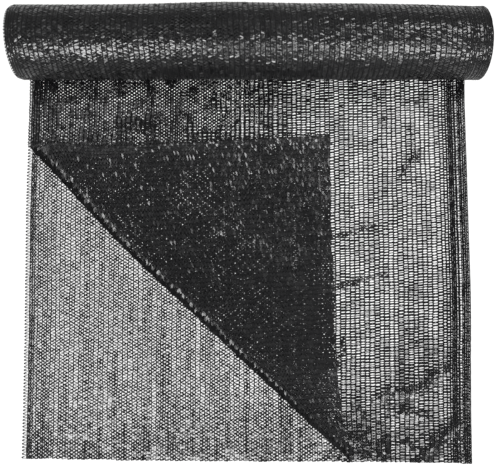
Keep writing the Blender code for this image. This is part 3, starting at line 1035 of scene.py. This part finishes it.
def add_tapes(strands, sizes, layer, across, along, rng):
    """A tape between each two chains, which zigzags from one to the other in every course.

    All swing the same way across the whole cloth, so that folded, the two layers' zigzags cross, save where
    they are drawn onto common rungs. Each leg is a strip of three stations: pinched at the chains, full in
    the middle, and leaning a little its own way. Where tapes lean more than on the flat cloth, their ends
    lean too, and on the turned corner's bend they take the dull material of the chains.
    """
    side = layer.side
    courses = layer.courses
    near = across[:-1] - TAPE_OVERLAP
    far = across[1:] + TAPE_OVERLAP
    tape_along = (along[:-1] + along[1:]) / 2
    rows = np.arange(len(near))
    if layer.crossing:
        near = np.concatenate((-across[:1] - TAPE_OVERLAP, near))
        far = np.concatenate((across[:1] + TAPE_OVERLAP, far))
        tape_along = np.concatenate((along[:1], tape_along))
        rows = np.concatenate(((MOST_WALES - 1,), rows))
    tapes = len(near)
    outward = (np.arange(courses) + (side < 0)) % 2 == 0
    first = np.where(outward, near[:, :-1], far[:, :-1])
    last = np.where(outward, far[:, 1:], near[:, 1:])
    uneven = rng.standard_normal((4, MOST_WALES, courses)).clip(-2, 2)[:, rows]
    middle = (first + last) / 2 + STRAY_ACROSS * uneven[0]
    even_along = (tape_along[:, :-1] + tape_along[:, 1:]) / 2
    hold, off_rung = layer.rungs(side * middle, even_along)
    drawn_along = even_along - hold * off_rung
    half_rise = (1 - hold) * (tape_along[:, 1:] - tape_along[:, :-1]) / 2
    first_along = drawn_along - half_rise - hold * RUNG_SLANT * (first - middle)
    last_along = drawn_along + half_rise - hold * RUNG_SLANT * (last - middle)
    middle_along = drawn_along + STRAY_ALONG * uneven[1]
    run = last - first
    rise = last_along - first_along
    length = np.hypot(run, rise)
    full = layer.fullness(side * middle, middle_along)
    stretched = (middle * TAPE_RIPPLE_SCALES[0], middle_along * TAPE_RIPPLE_SCALES[1])
    ripples = 1 + TAPE_RIPPLE * ripple(*stretched, layer.seed + 4, TAPE_RIPPLE_LENGTH)
    own = 1 + COLUMN_STRAY * rng.standard_normal((MOST_WALES, 1)).clip(-2, 2)[rows]
    wide = sizes.tape_width / 2 * full * ripples * own * (1 + TAPE_UNEVEN * uneven[2])
    pinch = sizes.tape_pinch / 2 * full ** PINCH_POWER
    leaning = layer.lean(side * middle, middle_along)
    lean = np.tan(sizes.tape_tilt * leaning * uneven[3]) * wide
    ends = rng.standard_normal((2, MOST_WALES, courses)).clip(-2, 2)[:, rows]
    end_lean = np.tan(sizes.tape_tilt * END_LEAN * np.maximum(leaning - LOOSE_LEAN, 0.0) * ends) * pinch
    station_flat = np.stack((first, middle, last), axis=-1)
    station_along = np.stack((first_along, middle_along, last_along), axis=-1)
    half_flat = np.stack((0 * run, -rise * np.sign(run) / length * wide, 0 * run), axis=-1)
    half_along = np.stack((pinch, np.abs(run) / length * wide, pinch), axis=-1)
    low = TAPE_END_LIFT + 0 * run
    station_lift = np.stack((low, TAPE_MIDDLE_LIFT + STRAY_UP * uneven[1], low), axis=-1)
    half_lift = np.stack((end_lean[0], lean, end_lean[1]), axis=-1)
    edge = np.array((-1.0, 1.0))
    flat = side * (station_flat[..., None] + half_flat[..., None] * edge)
    flat_along = station_along[..., None] + half_along[..., None] * edge
    lift = station_lift[..., None] + half_lift[..., None] * edge
    points = lifted(layer.place, flat, flat_along, lift).reshape(tapes * courses, 3, 2, 3)
    lead, width = strip_cell(tapes, 1)
    station_share = np.broadcast_to(np.array((0.0, 0.5, 1.0))[:, None], (tapes, courses, 3, 2))
    edge_share = np.broadcast_to(np.array((0.0, 1.0)), (tapes, courses, 3, 2))
    course_rows = np.arange(courses)[None, :, None, None]
    line = (course_rows + TAPE_MAP_FROM + TAPE_MAP_SPAN * edge_share) / courses
    bake = np.stack((lead[:, None, None, None] + station_share * width, line), axis=-1)
    shuffle = STREAK_SHUFFLE * rng.random((tapes, courses, 1, 1))
    span = station_share * length[..., None, None] / sizes.course + shuffle
    leg = np.stack((edge_share, span + np.arange(tapes)[:, None, None, None]), axis=-1)
    backward = np.tile(~outward, tapes)
    kinds = np.where(layer.dull(side * middle, middle_along), 0, 1).ravel()
    strands.add(points, bake, leg, kinds, backward if side > 0 else ~backward)


def knit(sizes, layer):
    """Knits one layer: its wales' lines, a chain on each, and the tapes between them."""
    rng = np.random.default_rng(layer.seed)
    strands = Strands()
    across, along = wale_lines(sizes, layer, rng)
    add_chains(strands, sizes, layer, across, along, rng)
    add_tapes(strands, sizes, layer, across, along, rng)
    return strands


def material_shell(name):
    """A material with its node tree and its Principled shader."""
    material = bpy.data.materials.new(name)
    material.use_nodes = True
    tree = material.node_tree
    shader = tree.nodes["Principled BSDF"]
    return material, tree, shader


def linked(tree, kind, inputs=(), **settings):
    """A node of a kind with its settings, its inputs filled by values or by other nodes' outputs."""
    node = tree.nodes.new(kind)
    for key, value in settings.items():
        setattr(node, key, value)
    for key, value in dict(inputs).items():
        if isinstance(value, bpy.types.NodeSocket):
            tree.links.new(value, node.inputs[key])
        else:
            node.inputs[key].default_value = value
    return node


def strand_group():
    """Grain of drawn tape: streaks that run with the strand, and rubbed patches.

    Streaks are noise stretched along the strand. Rub is coarse noise in the object's own space.
    """
    tree = bpy.data.node_groups.new("strand_grain", "ShaderNodeTree")
    for name, kind, way in (
        ("Streaks across", "NodeSocketFloat", "INPUT"),
        ("Rub scale", "NodeSocketFloat", "INPUT"),
        ("Streak", "NodeSocketFloat", "OUTPUT"),
        ("Rub", "NodeSocketFloat", "OUTPUT"),
    ):
        tree.interface.new_socket(name=name, in_out=way, socket_type=kind)
    taken = tree.nodes.new("NodeGroupInput")
    given = tree.nodes.new("NodeGroupOutput")
    strand = linked(tree, "ShaderNodeUVMap", uv_map="Strand")
    parts = linked(tree, "ShaderNodeSeparateXYZ", {"Vector": strand.outputs["UV"]})
    across = linked(
        tree, "ShaderNodeMath",
        {0: parts.outputs["X"], 1: taken.outputs["Streaks across"]}, operation="MULTIPLY",
    )
    drawn = linked(tree, "ShaderNodeCombineXYZ", {"X": across.outputs[0], "Y": parts.outputs["Y"]})
    streak = linked(tree, "ShaderNodeTexNoise", {"Vector": drawn.outputs[0], "Scale": 1.0, "Detail": 2.0})
    place = linked(tree, "ShaderNodeTexCoord")
    rub_inputs = {"Vector": place.outputs["Object"], "Scale": taken.outputs["Rub scale"]}
    rub = linked(tree, "ShaderNodeTexNoise", {**rub_inputs, "Detail": 4.0, "Roughness": 0.65})
    tree.links.new(streak.outputs["Fac"], given.inputs["Streak"])
    tree.links.new(rub.outputs["Fac"], given.inputs["Rub"])
    return tree


def add_group(tree, group, **values):
    """Places a node group in a material with its own values."""
    node = tree.nodes.new("ShaderNodeGroup")
    node.node_tree = group
    for key, value in values.items():
        node.inputs[key.replace("_", " ")].default_value = value
    return node


def ramp(tree, value, low, high, start, end):
    """Maps a value from the span low to high onto start to end, held at both."""
    inputs = {"Value": value, "From Min": low, "From Max": high, "To Min": start, "To Max": end}
    return linked(tree, "ShaderNodeMapRange", inputs).outputs["Result"]


def dress(tree, shader, grain, colours, wear, gloss, relief):
    """Gives a shader its colour, roughness and bump from the grain.

    Over the span of wear, the rub takes the first colour to the second. Gloss is the output of the grain
    that takes the roughness from one value to another, and those values. Relief is the bump's strength, its
    distance and its height.
    """
    patch = ramp(tree, grain.outputs["Rub"], *wear, 0.0, 1.0)
    mixed = {0: patch, 6: (*colours[0], 1.0), 7: (*colours[1], 1.0)}
    colour = linked(tree, "ShaderNodeMix", mixed, data_type="RGBA")
    tree.links.new(colour.outputs[2], shader.inputs["Base Color"])
    output, smooth, rough = gloss
    roughness = ramp(tree, grain.outputs[output], *GRAIN_SPAN, smooth, rough)
    tree.links.new(roughness, shader.inputs["Roughness"])
    bump = linked(tree, "ShaderNodeBump", dict(zip(("Strength", "Distance", "Height"), relief)))
    tree.links.new(bump.outputs["Normal"], shader.inputs["Normal"])


def tape_material(finish, group):
    """Glossy black polyethylene tape: drawn streaks in its roughness and bump, rubbed patches paler."""
    material, tree, shader = material_shell("black_tape")
    shader.inputs["Specular IOR Level"].default_value = TAPE_SPECULAR
    grain = add_group(tree, group, Streaks_across=5.0, Rub_scale=55.0)
    dress(
        tree, shader, grain, (finish.tape_colour, finish.worn_colour), wear=(0.52, 0.72),
        gloss=("Streak", finish.tape_roughness - 0.05, finish.tape_roughness + 0.09),
        relief=(0.3, 0.00005, grain.outputs["Streak"]),
    )
    return material


def chain_material(finish, group, name, specular):
    """Black knitted chain: each course is a pair of slanted strands that meet in the middle."""
    material, tree, shader = material_shell(name)
    shader.inputs["Specular IOR Level"].default_value = specular
    grain = add_group(tree, group, Streaks_across=3.0, Rub_scale=70.0)
    strand = linked(tree, "ShaderNodeUVMap", uv_map="Strand")
    parts = linked(tree, "ShaderNodeSeparateXYZ", {"Vector": strand.outputs["UV"]})
    off_middle = linked(tree, "ShaderNodeMath", {0: parts.outputs["X"], 1: 0.5}, operation="SUBTRACT")
    slant = linked(tree, "ShaderNodeMath", {0: off_middle.outputs[0]}, operation="ABSOLUTE")
    slanted = {0: parts.outputs["Y"], 1: slant.outputs[0]}
    shifted = linked(tree, "ShaderNodeMath", slanted, operation="SUBTRACT")
    loop = linked(tree, "ShaderNodeMath", {0: shifted.outputs[0], 1: 1.0}, operation="PINGPONG")
    dress(
        tree, shader, grain, (finish.chain_colour, finish.worn_colour), wear=(0.50, 0.75),
        gloss=("Streak", finish.chain_roughness - 0.06, finish.chain_roughness + 0.10),
        relief=(0.7, 0.0003, loop.outputs[0]),
    )
    return material


def core_material(finish, group):
    """The inner turns seen through the outer two layers: dark, with wales and courses in relief."""
    material, tree, shader = material_shell("black_inner_turns")
    shader.inputs["Specular IOR Level"].default_value = CHAIN_SPECULAR
    grain = add_group(tree, group, Streaks_across=1.0, Rub_scale=90.0)
    strand = linked(tree, "ShaderNodeUVMap", uv_map="Strand")
    cells = {"Vector": strand.outputs["UV"], "Scale": 1.0, "Randomness": 0.6}
    knit_bumps = linked(tree, "ShaderNodeTexVoronoi", cells)
    dress(
        tree, shader, grain, (finish.chain_colour, finish.tape_colour), wear=(0.5, 0.7),
        gloss=("Rub", 0.35, 0.6), relief=(0.9, 0.0006, knit_bumps.outputs["Distance"]),
    )
    return material


def knit_materials(scene, chain="black_chain"):
    """A knitted piece's chains and tapes. All the materials are made at the first call."""
    if "black_tape" not in bpy.data.materials:
        group = strand_group()
        chain_material(scene.knit_finish, group, "black_chain", CHAIN_SPECULAR)
        chain_material(scene.knit_finish, group, "black_wound_chain", WOUND_CHAIN_SPECULAR)
        tape_material(scene.knit_finish, group)
        core_material(scene.knit_finish, group)
    return [bpy.data.materials[name] for name in (chain, "black_tape")]


def settle(thing, *nodes):
    """Rides a piece on the one body and hides the solids that it stands for."""
    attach(thing, ROOT_BODY)
    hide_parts(*nodes)
    return thing


def add_ribbon(strands, layer, flat, flat_along, lift, map_from, flipped=None):
    """Adds one ribbon along the cloth, in its own column of the bake map, with the tapes' material.

    Both maps run evenly across it, and along it by its stations.
    """
    stations, width = flat.shape
    station = np.arange(stations)[:, None]
    across_share = np.broadcast_to(np.linspace(0.0, 1.0, width), flat.shape)
    bake = np.stack((map_from + MAP_RIBBON * across_share, 0 * flat + station / stations), axis=-1)
    strand = np.stack((across_share, 0 * flat + station / 2), axis=-1)
    points = lifted(layer.place, flat, flat_along, lift)
    strands.add(points[None], bake[None], strand[None], 1, flipped)


def ears(strands, sizes, layer, start, courses, twist=0.0):
    """The selvedge's loops: one tape that swings out past the last chain and back every two courses.

    The tape follows the cosine of its length, squared off a little at the tips and leaning towards the cut
    end, as a strip that is wider at the tips. There it can also twist about itself and narrow, which shows
    its face to the side where the cloth is wound.
    """
    side = layer.side
    last_wale = layer.wales[-1]
    per_course = 4
    stations = courses * per_course + 1
    along = start + sizes.course * np.arange(stations) / per_course
    swing = np.cos(math.pi * np.arange(stations) / per_course)
    reach = HALF_WIDTH - last_wale
    path = last_wale + reach * (0.5 - 0.5 * np.sign(swing) * np.abs(swing) ** EAR_POWER)
    stray_out = EAR_STRAYS[0] * ripple(along, 0 * along, layer.seed, EAR_STRAY_LENGTHS[0])
    path = path + stray_out * (path - last_wale) / reach
    along = along + EAR_STRAYS[1] * ripple(along, 0 * along, layer.seed + 1, EAR_STRAY_LENGTHS[1])
    along = along - sizes.course * EAR_LEAN * (path - last_wale) / reach
    way = np.stack((np.gradient(path), np.gradient(along)))
    way /= np.linalg.norm(way, axis=0)
    turned = twist * np.clip((path - last_wale) / reach, 0.0, 1.0)
    narrowed = 1 - EAR_NARROWING * np.sin(turned)
    half = sizes.ear_width / 2 * (EAR_MIDDLE - EAR_GROWTH * swing) * narrowed
    edge = np.array((-1.0, 1.0))
    flat = side * (path[:, None] + (way[1] * half * np.cos(turned))[:, None] * edge)
    flat_along = along[:, None] - (way[0] * half * np.cos(turned))[:, None] * edge
    order = slice(None) if side > 0 else slice(None, None, -1)
    lift = EAR_LIFT + (half * np.sin(turned))[:, None] * edge
    add_ribbon(strands, layer, flat[:, order], flat_along[:, order], lift, MAP_RIGHT)


def fold_crest(strands, sizes, layer, start, courses):
    """The tapes that bend round the fold where the cloth is wound: a ribbon of three points across its crest.

    Its half width follows the sine of its length, with one swell for each course, and its middle stands off
    the cloth. It slants from one layer to the other.
    """
    per_course = 4
    steps = np.arange(courses * per_course + 1)
    along = start + sizes.course * steps / per_course
    swell = 1 - RIBBON_SWELL + RIBBON_SWELL * np.abs(np.sin(math.pi * steps / per_course))
    half = sizes.tape_pinch / 2 * swell
    flat = half[:, None] * np.array((-1.0, 0.0, 1.0))
    flat_along = along[:, None] + RIBBON_SLANT * flat
    lift = RIBBON_LIFT * np.array((RIBBON_EDGE, 1.0, RIBBON_EDGE)) + 0 * flat
    add_ribbon(strands, layer, flat, flat_along, lift, MAP_RIGHT)


def loop_tips(strands, sizes, layer, start, courses):
    """The outer bends of the selvedge's loops where the cloth is wound: a ribbon on edge, facing outward.

    It is three points high and runs along the tips. Its half height is whole at each tip, every two courses,
    and next to nothing between the loops, and its middle stands out.
    """
    per_course = 2
    steps = np.arange(courses * per_course + 1)
    along = start + sizes.course * (steps / per_course - EAR_LEAN)
    half = sizes.chain_crown * np.array(TIP_HEIGHTS)[steps % len(TIP_HEIGHTS)]
    edge = np.array((-1.0, 0.0, 1.0))
    lift = half[:, None] * edge
    out = HALF_WIDTH - 2 * RIBBON_LIFT + RIBBON_LIFT * (1 - np.abs(edge))
    flat = layer.side * (out + 0 * lift)
    flat_along = along[:, None] + 0 * lift
    add_ribbon(strands, layer, flat, flat_along, lift, MAP_LEFT, np.array([layer.side > 0]))


class SHADECLOTH_OT_loose_end(bpy.types.Operator):
    """Knits the two layers of the loose end, with the side fold, the turned corner and the selvedges"""

    bl_idname = "shade_cloth.loose_end"
    bl_label = "Knit the loose end"

    def execute(self, context):
        sizes = context.scene.knit_sizes
        materials = knit_materials(context.scene)
        length = BACK_EDGE_Y - FRONT_EDGE_Y
        courses = round(length / sizes.course)
        for name, side in (("lower_layer", OUTER_LAYER), ("upper_layer", INNER_LAYER)):
            upper = side == INNER_LAYER
            wales, slip = wale_distances(upper)
            layer = Layer(
                on_loose_end, side, FRONT_EDGE_Y, courses, wales, sizes.seed, slip, upper, loose=True
            )
            strands = knit(sizes, layer)
            ears(strands, sizes, layer, FRONT_EDGE_Y + upper * sizes.course, courses - upper)
            thing = settle(strands.make(name, materials), "loose_end")
        return {"FINISHED"}


class SHADECLOTH_OT_outer_turn(bpy.types.Operator):
    """Knits the outermost turn of the roll, which is two layers of the folded cloth"""

    bl_idname = "shade_cloth.outer_turn"
    bl_label = "Knit the outer turn"

    def execute(self, context):
        sizes = context.scene.knit_sizes
        winding = context.scene.roll_sizes
        materials = knit_materials(context.scene, "black_wound_chain")
        place = on_winding(winding)
        length = math.tau * (ROLL_RADIUS - ROLL_STEP / 2) * OUTER_TURN_LENGTH
        courses = round(length / sizes.course)
        for name, side in (("outer_turn_lower_layer", OUTER_LAYER), ("outer_turn_upper_layer", INNER_LAYER)):
            upper = side == INNER_LAYER
            wales, slip = wale_distances(upper)
            seed = sizes.seed + OUTER_TURN_SEED
            strands = knit(sizes, Layer(place, side, 0.0, courses, wales, seed, slip, upper))
            thing = settle(strands.make(name, materials), "roll")
        return {"FINISHED"}


class SHADECLOTH_OT_inner_turns(bpy.types.Operator):
    """Makes the dark body of the inner turns"""

    bl_idname = "shade_cloth.inner_turns"
    bl_label = "Make the inner turns"

    def execute(self, context):
        winding = context.scene.roll_sizes
        knit_materials(context.scene)
        turn = np.linspace(0, 1, CORE_COLUMNS + 1)[None, :]
        angle = math.tau * turn - QUARTER_TURN
        rim = winding_radius(1 + turn, winding.turn_step) - CORE_DEPTH
        widening = np.linspace(CORE_EYE, 1, CORE_END_ROWS)
        narrowing = np.linspace(1, CORE_EYE, CORE_END_ROWS)
        share = np.concatenate((widening, np.ones(CORE_ROWS), narrowing))[:, None]
        rows_along = np.linspace(0, 1, CORE_ROWS)
        run = np.concatenate((np.zeros(CORE_END_ROWS), rows_along, np.ones(CORE_END_ROWS)))[:, None]
        radius = rim * share
        left = end_place(radius, angle, 0) + winding.core_inset
        right = end_place(radius, angle, 1) - winding.core_inset
        x = left * (1 - run) + right * run
        lumps = CORE_LUMPS * ripple(x, angle * CORE_ANGLE_SCALE + 0 * x, *CORE_RIPPLE)
        points = on_roll(x.ravel(), (radius + lumps).ravel(), np.broadcast_to(angle, x.shape).ravel())
        strands = Strands()
        grid = points.reshape(1, *x.shape, 3)
        count = x.shape[0]
        row_share = np.broadcast_to(np.arange(count)[:, None] / count, x.shape)
        bake = CORE_MAP_FROM + CORE_MAP_SPAN * np.stack((np.broadcast_to(turn, x.shape), row_share), axis=-1)
        strand = np.stack((x / CORE_WALE, np.broadcast_to(turn * CORE_COURSES, x.shape)), axis=-1)
        strands.add(grid[:, :, ::-1], bake[None][:, :, ::-1], strand[None][:, :, ::-1], 0)
        thing = strands.make("inner_turns", [bpy.data.materials["black_inner_turns"]])
        settle(thing, "roll")
        return {"FINISHED"}


class SHADECLOTH_OT_roll_ends(bpy.types.Operator):
    """Winds the selvedges at the roll's left end and the fold at its right end into their spirals"""

    bl_idname = "shade_cloth.roll_ends"
    bl_label = "Wind the roll's ends"

    def execute(self, context):
        sizes = context.scene.knit_sizes
        winding = context.scene.roll_sizes
        materials = knit_materials(context.scene, "black_wound_chain")
        place = on_winding(winding)
        turns = 1 + (ROLL_RADIUS - ROLL_STEP - winding.eye_radius) / winding.turn_step
        steps = np.linspace(INNER_TURNS_FROM, turns, SPIRAL_STATIONS)
        radius = winding_radius(steps, winding.turn_step)
        length = float(np.sum((radius[1:] + radius[:-1]) / 2 * math.tau * np.diff(steps)))
        start = math.tau * (ROLL_RADIUS - ROLL_STEP / 2) * INNER_TURNS_FROM
        courses = int(length / sizes.course)
        selvedge = wale_distances(False)[0][-LEFT_END_WALES:]
        fold = np.array(FOLD_WALES[:RIGHT_END_WALES])
        for name, side in (("left_end_lower_layer", OUTER_LAYER), ("left_end_upper_layer", INNER_LAYER)):
            layer = Layer(place, side, start, courses, selvedge, sizes.seed + LEFT_END_SEED)
            strands = knit(sizes, layer)
            ears(strands, sizes, layer, start, courses, EAR_TWIST)
            loop_tips(strands, sizes, layer, start, courses)
            settle(strands.make(name, materials), "roll")
        seed = sizes.seed + RIGHT_END_UPPER_SEED
        layer = Layer(place, INNER_LAYER, start, courses, fold, seed, crossing=True)
        strands = knit(sizes, layer)
        fold_crest(strands, sizes, layer, start, courses)
        settle(strands.make("right_end_upper_layer", materials), "roll")
        seed = sizes.seed + RIGHT_END_LOWER_SEED
        strands = knit(sizes, Layer(place, OUTER_LAYER, start, courses, fold, seed))
        settle(strands.make("right_end_lower_layer", materials), "roll")
        return {"FINISHED"}


class SHADECLOTH_OT_studio(bpy.types.Operator):
    """Sets the floor, the light and the camera"""

    bl_idname = "shade_cloth.studio"
    bl_label = "Set the studio"

    def execute(self, context):
        studio = context.scene.studio_sizes
        scene = context.scene
        reach = studio.floor_size / 2
        mesh = bpy.data.meshes.new("floor")
        corners = [(-reach, -reach, 0), (reach, -reach, 0), (reach, reach, 0), (-reach, reach, 0)]
        mesh.from_pydata(corners, [], [(0, 1, 2, 3)])
        floor = bpy.data.objects.new("floor", mesh)
        scene.collection.objects.link(floor)
        material, tree, shader = material_shell("pale_floor")
        shader.inputs["Base Color"].default_value = FLOOR_COLOUR
        shader.inputs["Roughness"].default_value = FLOOR_ROUGHNESS
        shader.inputs["Emission Color"].default_value = WHITE
        shader.inputs["Emission Strength"].default_value = studio.floor_glow
        mesh.materials.append(material)

        world = bpy.data.worlds.new("soft_sky")
        world.use_nodes = True
        tree = world.node_tree
        way = linked(tree, "ShaderNodeTexCoord")
        parts = linked(tree, "ShaderNodeSeparateXYZ", {"Vector": way.outputs["Generated"]})
        strength = ramp(tree, parts.outputs["Z"], *SKY_SPAN, studio.sky_low, studio.sky_overhead)
        tree.nodes["Background"].inputs["Color"].default_value = WHITE
        tree.links.new(strength, tree.nodes["Background"].inputs["Strength"])
        scene.world = world

        for row in SOFTBOXES:
            light = bpy.data.lights.new(row["name"], "AREA")
            light.shape = "RECTANGLE"
            light.size = row["width"]
            light.size_y = row["depth"]
            light.energy = studio.softbox_power * row["share"]
            lamp = bpy.data.objects.new(row["name"], light)
            scene.collection.objects.link(lamp)
            lamp.location = (row["x"], row["y"], row["z"])
            way = Vector((0.0, 0.0, 0.0)) - lamp.location
            lamp.rotation_euler = way.to_track_quat("-Z", "Y").to_euler()

        lens = bpy.data.cameras.new("photo_camera")
        lens.lens = studio.camera_lens
        lens.sensor_width = SENSOR_WIDTH
        camera = bpy.data.objects.new("photo_camera", lens)
        scene.collection.objects.link(camera)
        lean = studio.camera_lean
        away = studio.camera_distance
        middle_x, middle_y = VIEW_MIDDLE
        camera.location = (middle_x, middle_y - away * math.sin(lean), away * math.cos(lean))
        camera.rotation_euler = (lean, 0.0, 0.0)
        scene.camera = camera
        scene.view_settings.view_transform = "Standard"
        return {"FINISHED"}


class SHADECLOTH_PT_sidebar(bpy.types.Panel):
    """Lists the steps in the 3D view's sidebar"""

    bl_label = "Shade cloth"
    bl_idname = "SHADECLOTH_PT_sidebar"
    bl_space_type = "VIEW_3D"
    bl_region_type = "UI"
    bl_category = "Shade cloth"

    def draw(self, context):
        for step in OPERATORS:
            self.layout.operator(step.bl_idname)


OPERATORS = (
    SHADECLOTH_OT_loose_end,
    SHADECLOTH_OT_outer_turn,
    SHADECLOTH_OT_inner_turns,
    SHADECLOTH_OT_roll_ends,
    SHADECLOTH_OT_studio,
)
CLASSES = (KnitSizes, RollSizes, KnitFinish, StudioSizes, *OPERATORS, SHADECLOTH_PT_sidebar)
SETTINGS = (
    ("knit_sizes", KnitSizes),
    ("roll_sizes", RollSizes),
    ("knit_finish", KnitFinish),
    ("studio_sizes", StudioSizes),
)


def register():
    """Registers the classes and hangs the settings on the scene."""
    for kind in CLASSES:
        bpy.utils.register_class(kind)
    for name, kind in SETTINGS:
        setattr(bpy.types.Scene, name, bpy.props.PointerProperty(type=kind))


def unregister():
    """Takes the settings and the classes away again."""
    for name, _ in SETTINGS:
        delattr(bpy.types.Scene, name)
    for kind in reversed(CLASSES):
        bpy.utils.unregister_class(kind)


def main():
    """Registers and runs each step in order."""
    register()
    bpy.ops.shade_cloth.loose_end()
    bpy.ops.shade_cloth.outer_turn()
    bpy.ops.shade_cloth.inner_turns()
    bpy.ops.shade_cloth.roll_ends()
    bpy.ops.shade_cloth.studio()


if __name__ == "__main__":
    main()
